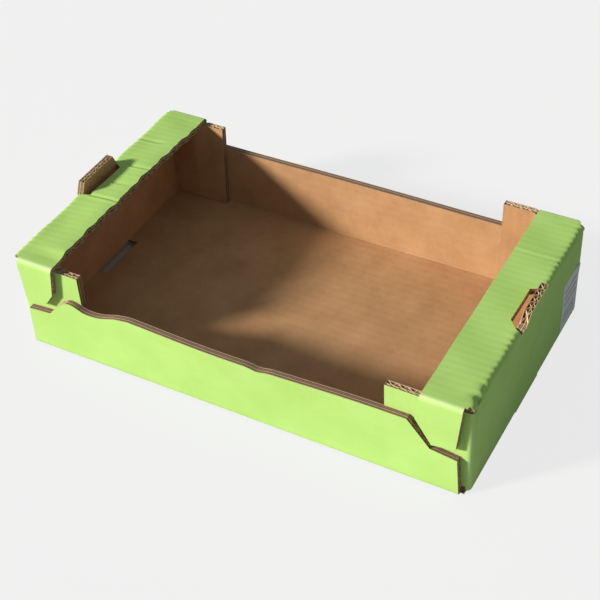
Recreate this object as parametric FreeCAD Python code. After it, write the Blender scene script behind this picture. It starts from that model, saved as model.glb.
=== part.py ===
import FreeCAD, Part
import math
import os

# Produce tray folded and glued from one blank of double-wall corrugated board.
# Frame: X along the tray, Y across it, Z up. The front long wall is at negative Y.
# The origin is under the middle of the tray, on the floor.

# Overall sizes in millimetres
LENGTH = 400.0
WIDTH = 239.0
HEIGHT = 90.0

# Board: printed liner, fine flute, middle liner, coarse flute, kraft liner
BOARD = 6.0
LINER = 0.35
FINE_HEIGHT = 1.95
FINE_PITCH = 6.5
COARSE_HEIGHT = 3.0
COARSE_PITCH = 8.0
MEDIUM = 0.35
CHANNEL_DEPTH = 3.0

# Folds: the printed face turns round a short radius, the kraft face in a sharp crease
FOLD_RADIUS = 4.0

# Shelves: the corner between a shelf's two folds is cut off square
SHELF_WIDTH = 40.0
CORNER_CUT = 6.5

# Tabs that close the shelves down on the corner flaps.
# Corners below the fold as distance from the end of the tray and height, inner side first.
RIGHT_TAB = [(43.0, 67.0), (29.5, 45.0), (10.5, 48.5)]
LEFT_TAB = [(36.7, 62.0), (27.5, 49.0), (9.0, 47.5)]

# Long walls: tall between the flaps, low at the corners, bowed out in the middle.
# Shoulder corners as distance from the end of the tray and height, from the middle out.
WALL_HEIGHT = 63.0
WALL_BOW = 4.0
WALL_BOW_START = 70.0
SHOULDER = [(49.0, WALL_HEIGHT), (30.5, 40.5), (9.0, 37.5)]
WALL_END_INSET = 7.0

# Worn shoulder at the left end of the front wall, given the same way.
# A curve runs over its hump and dip and meets the straight top.
WORN_HUMP = [
    (110.0, WALL_HEIGHT),
    (96.0, 60.0),
    (83.0, 55.4),
    (73.0, 54.0),
    (64.0, 55.0),
    (57.0, 58.4),
    (50.0, 58.6),
    (42.0, 53.8),
]
WORN_SLOPE = [(30.5, 41.0), (10.2, 39.2)]

# Corner flaps, glued inside the long walls
FLAP_REACH_RIGHT = 69.5
FLAP_REACH_LEFT = 60.5
FLAP_LOW_GAP = 0.5
FLAP_TOP_GAP = 0.5

# Stacking tongues cut from the shelves, and the slots in the base that take them
TONGUE_RISE = 10.0
TONGUE_LEAN = 0.5
TORN_TONGUE_LEAN = 3.0
TONGUE_ROOT_HALF = 25.5
TONGUE_TIP_HALF = 21.0
TONGUE_SIDE_GAP = 1.0
BASE_SLOT_WIDTH = 10.0
BASE_SLOT_HALF = 24.0
BASE_SLOT_SIDE_GAP = 1.0
BASE_SLOT_LIFT = 1.5

# Torn near end of the right tongue, as Y and Z, and the near corner of its opening
TORN_SLOT_HALF = 17.5
TORN_TIP = [
    (-15.0, 100.0),
    (-16.5, 96.8),
    (-18.6, 97.8),
    (-20.2, 93.6),
    (-22.0, 94.6),
    (-23.4, 91.4),
]

# Paper label on the right end wall, beside the fold of the back flap
LABEL_WIDTH = 36.0
LABEL_HEIGHT = 50.0
LABEL_THICK = 0.2
LABEL_FOLD_GAP = 0.5
LABEL_FOOT = 5.0

# Sizes that follow from the ones above
HALF_LENGTH = LENGTH / 2.0
HALF_WIDTH = WIDTH / 2.0
END_FLAT = HALF_LENGTH - FOLD_RADIUS
SIDE_FLAT = HALF_WIDTH - FOLD_RADIUS
WALL_INSIDE = HALF_LENGTH - BOARD
FLAP_FACE = HALF_WIDTH - BOARD
CORNER_CENTRE = FLAP_FACE - FOLD_RADIUS
SHELF_EDGE = HALF_LENGTH - SHELF_WIDTH
SHELF_UNDER = HEIGHT - BOARD
FOLD_START = HEIGHT - FOLD_RADIUS
SHELF_FOLD_HALF = HALF_WIDTH - CORNER_CUT
TAB_FOLD_END = HALF_LENGTH - CORNER_CUT
WALL_END = HALF_LENGTH - WALL_END_INSET
WALL_BOW_HALF = HALF_LENGTH - WALL_BOW_START
FLAP_BOTTOM = BOARD + FLAP_LOW_GAP
FLAP_TOP = SHELF_UNDER - FLAP_TOP_GAP
TONGUE_TOP = HEIGHT + TONGUE_RISE


def vec(x, y, z):
    return FreeCAD.Vector(x, y, z)


def prism(points, along):
    """Extrudes a flat closed polygon along a vector."""
    face = Part.Face(Part.makePolygon(points + [points[0]]))
    return face.extrude(along)


def box(x0, x1, y0, y1, z0, z1):
    """Makes a box from its six limits."""
    return Part.makeBox(x1 - x0, y1 - y0, z1 - z0, vec(x0, y0, z0))


def from_end(corners):
    """Turns distances from the right end of the tray into X, for corners with a height."""
    return [(HALF_LENGTH - inset, z) for inset, z in corners]


def quarter_round(centre, first, second, along):
    """Makes the rounded outside of a fold, a quarter of a bar round a centre."""
    middle = first + second
    middle.normalize()
    start = centre + first * FOLD_RADIUS
    stop = centre + second * FOLD_RADIUS
    outer = Part.Arc(start, centre + middle * FOLD_RADIUS, stop)
    sides = [Part.LineSegment(stop, centre), Part.LineSegment(centre, start)]
    wire = Part.Wire([outer.toShape()] + [side.toShape() for side in sides])
    return Part.Face(wire).extrude(along)


def end_panels():
    """Makes the right end wall with its base fold, its shelf fold and the shelf."""
    wide = vec(0, 2.0 * CORNER_CENTRE, 0)
    low_fold = quarter_round(vec(END_FLAT, -CORNER_CENTRE, FOLD_RADIUS), vec(1, 0, 0), vec(0, 0, -1), wide)
    wall = box(WALL_INSIDE, HALF_LENGTH, -CORNER_CENTRE, CORNER_CENTRE, FOLD_RADIUS, FOLD_START)
    long_fold = vec(0, 2.0 * SHELF_FOLD_HALF, 0)
    top_centre = vec(END_FLAT, -SHELF_FOLD_HALF, FOLD_START)
    top_fold = quarter_round(top_centre, vec(1, 0, 0), vec(0, 0, 1), long_fold)
    shelf = box(SHELF_EDGE, END_FLAT, -SIDE_FLAT, SIDE_FLAT, SHELF_UNDER, HEIGHT)
    return [low_fold, wall, top_fold, shelf]


def corner_flap(reach):
    """Makes the back right corner flap with the upright fold that carries it."""
    rise = vec(0, 0, FLAP_TOP - FLAP_BOTTOM)
    fold = quarter_round(vec(END_FLAT, CORNER_CENTRE, FLAP_BOTTOM), vec(1, 0, 0), vec(0, 1, 0), rise)
    edge = HALF_LENGTH - reach
    flap = box(edge, END_FLAT, FLAP_FACE - BOARD, FLAP_FACE, FLAP_BOTTOM, FLAP_TOP)
    return [fold, flap]


def tab_outline(tab):
    """Lists the corners of a back right tab below its fold, as X and Z."""
    return [(SHELF_EDGE, FOLD_START)] + from_end(tab) + [(TAB_FOLD_END, FOLD_START)]


def shelf_tab(tab):
    """Makes a back right tab and the fold that hangs it from the shelf."""
    along = vec(TAB_FOLD_END - SHELF_EDGE, 0, 0)
    fold = quarter_round(vec(SHELF_EDGE, SIDE_FLAT, FOLD_START), vec(0, 1, 0), vec(0, 0, 1), along)
    corners = [vec(x, FLAP_FACE, z) for x, z in tab_outline(tab)]
    return [fold, prism(corners, vec(0, BOARD, 0))]


def wall_end(shoulder):
    """Lists the outer end of a long wall on the right, from its shoulder down, as X and Z."""
    return from_end(shoulder) + [(WALL_END, FOLD_RADIUS)]


def wall_outline(worn):
    """Makes the face that a long wall is trimmed to, its left shoulder plain or worn."""
    y = FLAP_FACE - 2.0 * WALL_BOW
    right = [vec(x, y, z) for x, z in wall_end(SHOULDER)]
    if not worn:
        left = [vec(-x, y, z) for x, z in wall_end(SHOULDER)]
        corners = right + list(reversed(left))
        return Part.Face(Part.makePolygon(corners + [corners[0]]))
    hump = [vec(-x, y, z) for x, z in from_end(WORN_HUMP)]
    curve = Part.BSplineCurve()
    curve.interpolate(hump)
    left = [hump[-1]] + [vec(-x, y, z) for x, z in wall_end(WORN_SLOPE)]
    rest = Part.makePolygon(left + list(reversed(right)) + [hump[0]])
    return Part.Face(Part.Wire([curve.toShape()] + rest.Edges))


def bow_at(x):
    """Gives how far the top of a long wall stands out at X."""
    return WALL_BOW * math.cos(math.pi * x / (2.0 * WALL_BOW_HALF)) ** 2


def wall_section(x, inner, outer):
    """Makes the leaning cross section of a back long wall at X."""
    lean = bow_at(x)
    corners = [
        vec(x, inner, FOLD_RADIUS),
        vec(x, outer, FOLD_RADIUS),
        vec(x, outer + lean, WALL_HEIGHT),
        vec(x, inner + lean, WALL_HEIGHT),
    ]
    return Part.makePolygon(corners + [corners[0]])


def long_wall(worn):
    """Makes a back long wall with its base fold, its left shoulder plain or worn."""
    along = vec(2.0 * WALL_END, 0, 0)
    fold = quarter_round(vec(-WALL_END, SIDE_FLAT, FOLD_RADIUS), vec(0, 1, 0), vec(0, 0, -1), along)
    stations = [WALL_BOW_HALF * k / 4.0 for k in range(-4, 5)]
    bowed = Part.makeLoft([wall_section(x, FLAP_FACE, HALF_WIDTH) for x in stations], True)
    right = box(WALL_BOW_HALF, WALL_END, FLAP_FACE, HALF_WIDTH, FOLD_RADIUS, WALL_HEIGHT)
    left = box(-WALL_END, -WALL_BOW_HALF, FLAP_FACE, HALF_WIDTH, FOLD_RADIUS, WALL_HEIGHT)
    panel = bowed.fuse([left, right])
    trimmed = panel.common(wall_outline(worn).extrude(vec(0, BOARD + 6.0 * WALL_BOW, 0)))
    return fold.fuse(trimmed)


def tongue_lean(torn):
    """Gives how far the top of a tongue stands out from its foot."""
    return TORN_TONGUE_LEAN if torn else TONGUE_LEAN


def tongue(torn):
    """Makes the right tongue, leaning out, whole or torn at its near end."""
    out = tongue_lean(torn)
    lean = [
        vec(WALL_INSIDE, -HALF_WIDTH, SHELF_UNDER),
        vec(HALF_LENGTH, -HALF_WIDTH, SHELF_UNDER),
        vec(HALF_LENGTH + out, -HALF_WIDTH, TONGUE_TOP),
        vec(WALL_INSIDE + out, -HALF_WIDTH, TONGUE_TOP),
    ]
    sheet = prism(lean, vec(0, WIDTH, 0))
    near_side = TORN_TIP if torn else [(-TONGUE_TIP_HALF, TONGUE_TOP)]
    far_side = [(TONGUE_ROOT_HALF, SHELF_UNDER), (TONGUE_ROOT_HALF, HEIGHT), (TONGUE_TIP_HALF, TONGUE_TOP)]
    root = [(-TONGUE_ROOT_HALF, HEIGHT), (-TONGUE_ROOT_HALF, SHELF_UNDER)]
    corners = [vec(HALF_LENGTH - 2.0 * BOARD, y, z) for y, z in far_side + near_side + root]
    return sheet.common(prism(corners, vec(4.0 * BOARD, 0, 0)))


def tongue_slot(torn):
    """Makes the opening left in the right shelf where the tongue is cut out.

    It is as deep as the strip of shelf that stands up, less the length of the fold.
    """
    root = TONGUE_ROOT_HALF + TONGUE_SIDE_GAP
    tip = TONGUE_TIP_HALF + TONGUE_SIDE_GAP
    near_tip = TORN_SLOT_HALF if torn else tip
    standing = TONGUE_TOP - FOLD_START
    inner = END_FLAT - (standing - math.pi / 2.0 * FOLD_RADIUS)
    corners = [
        vec(HALF_LENGTH + BOARD, -root, SHELF_UNDER),
        vec(HALF_LENGTH - BOARD / 2.0, -root, SHELF_UNDER),
        vec(inner, -near_tip, SHELF_UNDER),
        vec(inner, tip, SHELF_UNDER),
        vec(HALF_LENGTH - BOARD / 2.0, root, SHELF_UNDER),
        vec(HALF_LENGTH + BOARD, root, SHELF_UNDER),
    ]
    return prism(corners, vec(0, 0, 2.0 * BOARD))


def base_slot():
    """Makes the opening in the base and its fold at the right end."""
    start = WALL_INSIDE - BASE_SLOT_WIDTH
    return box(start, HALF_LENGTH + BOARD, -BASE_SLOT_HALF, BASE_SLOT_HALF, -BOARD, BOARD)


def base_slot_wall():
    """Makes the piece of end wall that runs straight down beside the base slot."""
    half = BASE_SLOT_HALF - BASE_SLOT_SIDE_GAP
    return box(WALL_INSIDE, HALF_LENGTH, -half, half, BASE_SLOT_LIFT, BOARD)


def flute_rows():
    """Lists the two flutes as pitch, height and distance of their foot from the printed face."""
    fine_foot = LINER
    coarse_foot = 2.0 * LINER + FINE_HEIGHT
    return [(FINE_PITCH, FINE_HEIGHT, fine_foot), (COARSE_PITCH, COARSE_HEIGHT, coarse_foot)]


def flute_triangles(start, stop):
    """Lists the open triangles of both flutes between two places along a cut edge.

    Each is three pairs: place along the edge and depth from the printed face.
    """
    found = []
    for pitch, height, foot in flute_rows():
        count = int((stop - start) / (pitch / 2.0))
        spare = (stop - start - count * pitch / 2.0) / 2.0
        for k in range(count - 1):
            left = start + spare + k * pitch / 2.0 + MEDIUM
            right = start + spare + (k + 2) * pitch / 2.0 - MEDIUM
            tip = (left + right) / 2.0
            low = foot if k % 2 == 0 else foot + height
            high = foot + height - MEDIUM if k % 2 == 0 else foot + MEDIUM
            found.append([(left, low), (right, low), (tip, high)])
    return found


def shelf_channels():
    """Makes the flute openings along the right shelf's inner edge."""
    made = []
    for triangle in flute_triangles(-SIDE_FLAT, SIDE_FLAT):
        corners = [vec(SHELF_EDGE - 1.0, y, HEIGHT - d) for y, d in triangle]
        made.append(prism(corners, vec(CHANNEL_DEPTH + 1.0, 0, 0)))
    return made


def flap_channels(reach):
    """Makes the flute openings along the top of the back right flap."""
    made = []
    for triangle in flute_triangles(HALF_LENGTH - reach + LINER, END_FLAT):
        corners = [vec(x, FLAP_FACE - d, FLAP_TOP - CHANNEL_DEPTH) for x, d in triangle]
        made.append(prism(corners, vec(0, 0, CHANNEL_DEPTH + FLAP_TOP_GAP / 2.0)))
    return made


def tongue_channels(torn):
    """Makes the flute openings along the top of the right tongue."""
    made = []
    near = -TONGUE_TIP_HALF if not torn else TORN_TIP[0][0]
    lean = tongue_lean(torn) * (1.0 - CHANNEL_DEPTH / 2.0 / (TONGUE_TOP - SHELF_UNDER))
    for triangle in flute_triangles(near, TONGUE_TIP_HALF):
        face = HALF_LENGTH + lean
        corners = [vec(face - d, y, TONGUE_TOP - CHANNEL_DEPTH) for y, d in triangle]
        made.append(prism(corners, vec(0, 0, CHANNEL_DEPTH + 1.0)))
    return made


def edge_place(line, z):
    """Gives the X of a cut edge at a height, from its corners as X and Z."""
    for (x0, z0), (x1, z1) in zip(line, line[1:]):
        if min(z0, z1) <= z <= max(z0, z1):
            return x0 + (x1 - x0) * (z - z0) / (z1 - z0)
    return line[0][0]


def side_channels(line, low, high, inward):
    """Makes the flute openings up a cut edge of the back wall layer.

    The board lies on the inward side of the edge, plus or minus one along X.
    """
    made = []
    for triangle in flute_triangles(low, high):
        middle = sum(z for z, _ in triangle) / 3.0
        place = edge_place(line, middle)
        start = place - inward * 2.0 * CHANNEL_DEPTH
        corners = [vec(start, HALF_WIDTH - d, z) for z, d in triangle]
        made.append(prism(corners, vec(inward * 3.0 * CHANNEL_DEPTH, 0, 0)))
    return made


def tab_channels(tab):
    """Makes the flute openings in both side edges of a back right tab."""
    outline = tab_outline(tab)
    inner = side_channels(outline[:3], tab[1][1] + LINER, FOLD_START, 1.0)
    outer = side_channels(outline[3:], tab[2][1] + LINER, FOLD_START, -1.0)
    return inner + outer


def wall_channels(slope, end):
    """Makes the flute openings at the right end of a back long wall.

    The slope and the end below it are given by their corners, as X and Z.
    """
    up = side_channels(slope, slope[-1][1] + LINER, slope[0][1] - LINER, -1.0)
    return up + side_channels(end, FOLD_RADIUS, end[0][1] - LINER, -1.0)


def mirrored(shape, normal):
    """Mirrors a copy across the plane through the origin with a given normal."""
    return shape.mirror(vec(0, 0, 0), normal)


def mirrored_all(shapes, normal):
    """Mirrors a copy of each shape."""
    return [mirrored(shape, normal) for shape in shapes]


def both_sides(shapes):
    """Repeats back shapes at the front."""
    return shapes + mirrored_all(shapes, vec(0, 1, 0))


def both_ends(shapes):
    """Repeats right end shapes at the left end."""
    return shapes + mirrored_all(shapes, vec(1, 0, 0))


def corner_parts():
    """Makes the flaps and tabs of all four corners."""
    right = both_sides(corner_flap(FLAP_REACH_RIGHT) + shelf_tab(RIGHT_TAB))
    left = both_sides(corner_flap(FLAP_REACH_LEFT) + shelf_tab(LEFT_TAB))
    return right + mirrored_all(left, vec(1, 0, 0))


def corner_channels():
    """Makes the flute openings of the flaps, tabs and walls at all four corners."""
    plain = wall_end(SHOULDER)
    worn = from_end(WORN_HUMP[-1:]) + wall_end(WORN_SLOPE)
    plain_wall = wall_channels(plain[:2], plain[2:])
    worn_wall = mirrored_all(wall_channels(worn[:2], worn[2:]), vec(0, 1, 0))
    right = both_sides(flap_channels(FLAP_REACH_RIGHT) + tab_channels(RIGHT_TAB) + plain_wall)
    left = both_sides(flap_channels(FLAP_REACH_LEFT) + tab_channels(LEFT_TAB)) + plain_wall + worn_wall
    return right + mirrored_all(left, vec(1, 0, 0))


def folded_tray():
    """Makes the whole folded sheet."""
    to_left = vec(1, 0, 0)
    base = box(-END_FLAT, END_FLAT, -SIDE_FLAT, SIDE_FLAT, 0.0, BOARD)
    walls = [long_wall(False), mirrored(long_wall(True), vec(0, 1, 0))]
    sheet = base.fuse(both_ends(end_panels()) + corner_parts() + walls).removeSplitter()
    slots = both_ends([base_slot()]) + [tongue_slot(True), mirrored(tongue_slot(False), to_left)]
    sheet = sheet.cut(slots)
    tongues = [tongue(True), mirrored(tongue(False), to_left)]
    sheet = sheet.fuse(tongues + both_ends([base_slot_wall()])).removeSplitter()
    channels = both_ends(shelf_channels()) + corner_channels() + tongue_channels(True)
    channels = channels + mirrored_all(tongue_channels(False), to_left)
    return sheet.cut(Part.makeCompound(channels))


def end_label():
    """Makes the paper label on the right end wall."""
    face = HALF_LENGTH + LABEL_THICK
    far = CORNER_CENTRE - LABEL_FOLD_GAP
    return box(HALF_LENGTH, face, far - LABEL_WIDTH, far, LABEL_FOOT, LABEL_FOOT + LABEL_HEIGHT)


def write(shape, name):
    """Writes one node and reports its size."""
    solids = shape.Solids
    whole = solids[0] if len(solids) == 1 else shape
    whole.exportStep("parts/" + name + ".step")
    limits = whole.BoundBox
    print(name, len(solids), whole.isValid(), round(whole.Volume, 1))
    print(limits.XMin, limits.XMax, limits.YMin, limits.YMax, limits.ZMin, limits.ZMax)


os.makedirs("parts", exist_ok=True)
write(folded_tray(), "folded_tray")
write(end_label(), "end_label")
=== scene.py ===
import logging
import math
from collections.abc import Callable
from dataclasses import dataclass
from enum import Enum, IntEnum
from functools import reduce

import bmesh
import bpy
import numpy as np
from mathutils import Euler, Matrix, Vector


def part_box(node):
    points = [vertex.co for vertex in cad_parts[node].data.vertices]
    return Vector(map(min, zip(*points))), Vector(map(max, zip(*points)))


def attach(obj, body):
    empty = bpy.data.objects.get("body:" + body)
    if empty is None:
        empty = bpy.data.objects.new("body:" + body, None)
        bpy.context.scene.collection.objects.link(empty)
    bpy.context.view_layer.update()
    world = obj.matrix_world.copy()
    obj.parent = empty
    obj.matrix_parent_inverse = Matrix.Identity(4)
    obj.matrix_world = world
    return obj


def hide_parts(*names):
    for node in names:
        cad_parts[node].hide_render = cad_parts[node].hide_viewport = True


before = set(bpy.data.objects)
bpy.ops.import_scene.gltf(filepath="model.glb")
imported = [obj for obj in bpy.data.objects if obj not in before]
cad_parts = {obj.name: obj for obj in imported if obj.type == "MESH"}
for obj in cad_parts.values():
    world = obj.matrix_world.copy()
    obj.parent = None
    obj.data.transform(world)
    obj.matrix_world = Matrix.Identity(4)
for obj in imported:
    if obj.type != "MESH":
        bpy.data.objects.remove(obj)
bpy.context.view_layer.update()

LOG = logging.getLogger("tray_box")
WELD = 0.00001
ON_PLANE = 0.000001
SHOULDER = ((0.151, 0.063), (0.1695, 0.0405), (0.191, 0.0375))

Place = Callable[[Vector, Vector], bool]


class Slot(IntEnum):
    """Material slots of the folded sheet, in order."""

    PRINT = 0
    KRAFT = 1
    CUT = 2
    CHANNEL = 3


class End(Enum):
    """The two ends of the tray, as the sign of X."""

    RIGHT = 1.0
    LEFT = -1.0


def smooth_step(value: np.ndarray, low: float, high: float) -> np.ndarray:
    """Rises smoothly from 0 at one value to 1 at another.

    Args:
        value: The values to place on the step.
        low: Where the step is 0.
        high: Where the step is 1.

    Returns:
        The height of the step at each value.
    """
    part = np.clip((value - low) / (high - low), 0.0, 1.0)
    return part * part * (3.0 - 2.0 * part)


def hump(value: np.ndarray, middle: float, spread: float) -> np.ndarray:
    """Gives a smooth bump of height 1.

    Args:
        value: The values to place on the bump.
        middle: Where the bump is highest.
        spread: How far out it has fallen to about a third.

    Returns:
        The height of the bump at each value.
    """
    return np.exp(-(((value - middle) / spread) ** 2))


def flowing(value: np.ndarray, stations: list[float], heights: list[float]) -> np.ndarray:
    """Runs a smooth curve through heights at stations.

    Args:
        value: Where the curve is read.
        stations: Rising places of the known heights.
        heights: The heights there.

    Returns:
        The curve's height at each value.
    """
    at, known = np.array(stations), np.array(heights)
    lean = np.gradient(known, at)
    k = np.clip(np.searchsorted(at, value) - 1, 0, len(at) - 2)
    gap = at[k + 1] - at[k]
    t = np.clip((value - at[k]) / gap, 0.0, 1.0)
    first = (1.0 + 2.0 * t) * (1.0 - t) ** 2 * known[k] + t * (1.0 - t) ** 2 * gap * lean[k]
    second = t * t * (3.0 - 2.0 * t) * known[k + 1] + t * t * (t - 1.0) * gap * lean[k + 1]
    return first + second


def inside(corners: list[tuple[float, float]], u: float, v: float) -> bool:
    """Tells if a flat place is inside a closed outline.

    Args:
        corners: The outline's corners in order.
        u: The place along the sheet.
        v: The place across it.

    Returns:
        Whether the place is inside.
    """
    crossings = 0
    for (u0, v0), (u1, v1) in zip(corners, corners[1:] + corners[:1]):
        if (v0 > v) != (v1 > v) and u < u0 + (u1 - u0) * (v - v0) / (v1 - v0):
            crossings += 1
    return crossings % 2 == 1


def steps(start: float, stop: float, pitch: float) -> list[float]:
    """Lists even stations after a start, up to and with a stop.

    Args:
        start: The place before the first station.
        stop: The last station.
        pitch: The widest step allowed.

    Returns:
        The stations.
    """
    count = max(1, math.ceil((stop - start) / pitch - 0.001))
    return [start + (stop - start) * k / count for k in range(1, count + 1)]


def linear(hex_colour: str) -> tuple[float, float, float, float]:
    """Turns an sRGB hex colour into the linear one a shader takes.

    Args:
        hex_colour: Six hex digits.

    Returns:
        Linear red, green, blue and alpha.
    """
    parts = [int(hex_colour[k : k + 2], 16) / 255.0 for k in (0, 2, 4)]
    made = [p / 12.92 if p <= 0.04045 else ((p + 0.055) / 1.055) ** 2.4 for p in parts]
    return made[0], made[1], made[2], 1.0


@dataclass(frozen=True)
class Blank:
    """The flat die-cut sheet and the way it folds into the tray.

    Flat places are u along the tray, v across it and w into the board from the
    printed face, with the origin in the middle of the base. The fold is worked out
    for positive u and v. At a fold the printed face turns round a short radius and
    the kraft face in a crease.
    """

    half_length: float = 0.200
    half_width: float = 0.1195
    height: float = 0.090
    board: float = 0.006
    radius: float = 0.004
    crease: float = 0.0003
    shelf_width: float = 0.040
    corner_cut: float = 0.0065
    wall_height: float = 0.063
    flap_foot: float = 0.0065
    flap_top: float = 0.0835
    tongue_rise: float = 0.010
    tongue_root_half: float = 0.0255
    tongue_tip_half: float = 0.021
    tongue_gap: float = 0.001
    tip_gap: float = 0.0005
    base_slot_width: float = 0.010
    base_slot_half: float = 0.024
    base_slot_gap: float = 0.001
    base_slot_lift: float = 0.0015

    @property
    def arc(self) -> float:
        """Length of the printed face round a quarter fold."""
        return self.radius * math.pi / 2.0

    @property
    def flap_face(self) -> float:
        """The printed face of the corner flaps, inside the long walls."""
        return self.half_width - self.board

    @property
    def u_fold(self) -> float:
        """Where the base ends and the end wall's fold starts."""
        return self.half_length - self.radius

    @property
    def v_fold(self) -> float:
        """Where the base or shelf ends and a fold over its side starts."""
        return self.half_width - self.radius

    @property
    def v_corner(self) -> float:
        """Where the end wall ends and a corner flap's fold starts."""
        return self.flap_face - self.radius

    @property
    def v_shelf_cut(self) -> float:
        """Where the fold between end wall and shelf is cut off."""
        return self.half_width - self.corner_cut

    @property
    def u_tab_cut(self) -> float:
        """Where the fold between shelf and tab is cut off."""
        return self.shelf_at(self.half_length - self.corner_cut)

    @property
    def u_wall(self) -> float:
        """Where the end wall starts."""
        return self.u_fold + self.arc

    @property
    def u_top(self) -> float:
        """Where the end wall ends and the shelf's fold starts."""
        return self.u_wall + self.height - 2.0 * self.radius

    @property
    def u_shelf(self) -> float:
        """Where the shelf starts."""
        return self.u_top + self.arc

    @property
    def u_end(self) -> float:
        """The shelf's inner edge."""
        return self.u_shelf + self.shelf_width - self.radius

    @property
    def u_flap_foot(self) -> float:
        """A flap's lower edge."""
        return self.u_wall + self.flap_foot - self.radius

    @property
    def u_flap_top(self) -> float:
        """A flap's upper edge."""
        return self.u_wall + self.flap_top - self.radius

    @property
    def v_wall(self) -> float:
        """Where a long wall or a tab starts."""
        return self.v_fold + self.arc

    @property
    def v_flap(self) -> float:
        """Where a flap starts past its fold."""
        return self.v_corner + self.arc

    @property
    def v_rim(self) -> float:
        """A long wall's top edge."""
        return self.wall_at(self.wall_height)

    @property
    def u_slot(self) -> float:
        """The far edge of the opening that the tongue leaves in the shelf."""
        return self.u_top + self.radius + self.tongue_rise

    @property
    def slot_x(self) -> float:
        """Where that edge is along the tray."""
        return self.half_length - self.radius - (self.u_slot - self.u_shelf)

    @property
    def u_tip(self) -> float:
        """The tongue's tip."""
        return self.u_slot - self.tip_gap

    @property
    def tongue_stretch(self) -> float:
        """Rise of the tongue for each unit of flat length."""
        return (self.tongue_rise + self.radius) / (self.u_tip - self.u_top)

    @property
    def u_tongue_taper(self) -> float:
        """Where the tongue starts to narrow, level with the shelf."""
        return self.u_top + self.radius / self.tongue_stretch

    @property
    def u_base_slot(self) -> float:
        """The inner edge of the slot in the base."""
        return self.half_length - self.board - self.base_slot_width

    @property
    def u_skirt(self) -> float:
        """The lower edge of the end wall beside the base slot."""
        return self.u_wall - self.radius + self.base_slot_lift

    def wall_at(self, z: float) -> float:
        """Gives the flat v of a height on a long wall."""
        return self.v_wall + z - self.radius

    def tab_at(self, z: float) -> float:
        """Gives the flat v of a height on a tab."""
        return self.v_wall + self.height - self.radius - z

    def shelf_at(self, x: float) -> float:
        """Gives the flat u of a place on the shelf."""
        return self.u_shelf + self.half_length - self.radius - x

    def fold(self, flat: np.ndarray) -> np.ndarray:
        """Folds flat places into the tray.

        Args:
            flat: Places as u, v and w, one a row.

        Returns:
            The places in the tray as X, Y and Z, one a row.
        """
        sign_u = np.where(flat[:, 0] < 0.0, -1.0, 1.0)
        sign_v = np.where(flat[:, 1] < 0.0, -1.0, 1.0)
        u, v, w = np.abs(flat[:, 0]), np.abs(flat[:, 1]), flat[:, 2]
        bend = np.maximum(self.radius - w, self.crease)
        folded = self._base_and_walls(u, v, w, bend)
        on_end = (u > self.u_fold + WELD) & ((v < self.v_flap + WELD) | (u > self.u_flap_foot - WELD))
        folded[on_end] = self._end(u, v, w, bend)[on_end]
        on_shelf = u > self.u_top - WELD
        folded[on_shelf] = self._shelf(u, v, w, bend)[on_shelf]
        folded[:, 0] *= sign_u
        folded[:, 1] *= sign_v
        return folded

    def _base_and_walls(self, u: np.ndarray, v: np.ndarray, w: np.ndarray, bend: np.ndarray) -> np.ndarray:
        """Folds the base and the long walls up from it."""
        inset = w + bend
        turn = np.clip((v - self.v_fold) / self.radius, 0.0, math.pi / 2.0)
        centre = self.half_width - inset
        x = np.where(v < self.v_corner, np.minimum(u, self.half_length - inset), u)
        x = np.where((v < self.base_slot_half + WELD) & (u > self.u_base_slot - WELD), u, x)
        y = np.where(v > self.v_fold, centre + bend * np.sin(turn), np.minimum(v, centre))
        z = np.where(v > self.v_fold, inset - bend * np.cos(turn), w)
        z = np.where(v > self.v_wall, np.maximum(self.radius + v - self.v_wall, inset), z)
        return np.stack([x, y, z], axis=1)

    def _end(self, u: np.ndarray, v: np.ndarray, w: np.ndarray, bend: np.ndarray) -> np.ndarray:
        """Folds an end wall up from the base and its flaps in from its sides."""
        inset = w + bend
        turn = np.clip((u - self.u_fold) / self.radius, 0.0, math.pi / 2.0)
        rise = self.radius + u - self.u_wall
        middle = v < self.base_slot_half - self.base_slot_gap / 2.0
        x = self.half_length - inset + bend * np.sin(turn)
        z = np.where(u < self.u_wall, inset - bend * np.cos(turn), np.maximum(rise, inset))
        x = np.where(middle, self.half_length - w, x)
        z = np.where(middle, rise, z)
        under = self.height - inset
        z = np.where(v > self.tongue_root_half + self.tongue_gap / 2.0, np.minimum(z, under), z)
        side = np.clip((v - self.v_corner) / self.radius, 0.0, math.pi / 2.0)
        centre, out = self.flap_face - inset, bend * np.sin(turn)
        y = np.where(v > self.v_corner, centre + out * np.sin(side), np.minimum(v, centre))
        x = np.where(v > self.v_corner, self.half_length - inset + out * np.cos(side), x)
        along = self.u_fold - (v - self.v_flap)
        x = np.where(v > self.v_flap, np.minimum(along, self.half_length - inset), x)
        return np.stack([x, y, z], axis=1)

    def _shelf(self, u: np.ndarray, v: np.ndarray, w: np.ndarray, bend: np.ndarray) -> np.ndarray:
        """Folds a shelf in from the end wall, its tabs down and its tongue up."""
        inset = w + bend
        over = np.clip((self.u_shelf - u) / self.radius, 0.0, math.pi / 2.0)
        down = np.clip((v - self.v_fold) / self.radius, 0.0, math.pi / 2.0)
        flat_x = np.minimum(self.u_fold - (u - self.u_shelf), self.half_length - inset)
        x = np.where(u < self.u_shelf, self.half_length - inset + bend * np.sin(over), flat_x)
        z = np.where(u < self.u_shelf, self.height - inset + bend * np.cos(over), self.height - w)
        centre = self.half_width - inset
        y = np.where(v > self.v_fold, centre + bend * np.sin(down), np.minimum(v, centre))
        z = np.where(v > self.v_fold, self.height - inset + bend * np.cos(down), z)
        hang = np.minimum(self.height - self.radius - (v - self.v_wall), self.height - inset)
        z = np.where(v > self.v_wall, hang, z)
        tongue = self.on_tongue(u, v)
        x = np.where(tongue, self.half_length - w, x)
        z = np.where(tongue, self.height - self.radius + (u - self.u_top) * self.tongue_stretch, z)
        return np.stack([x, y, z], axis=1)

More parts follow.
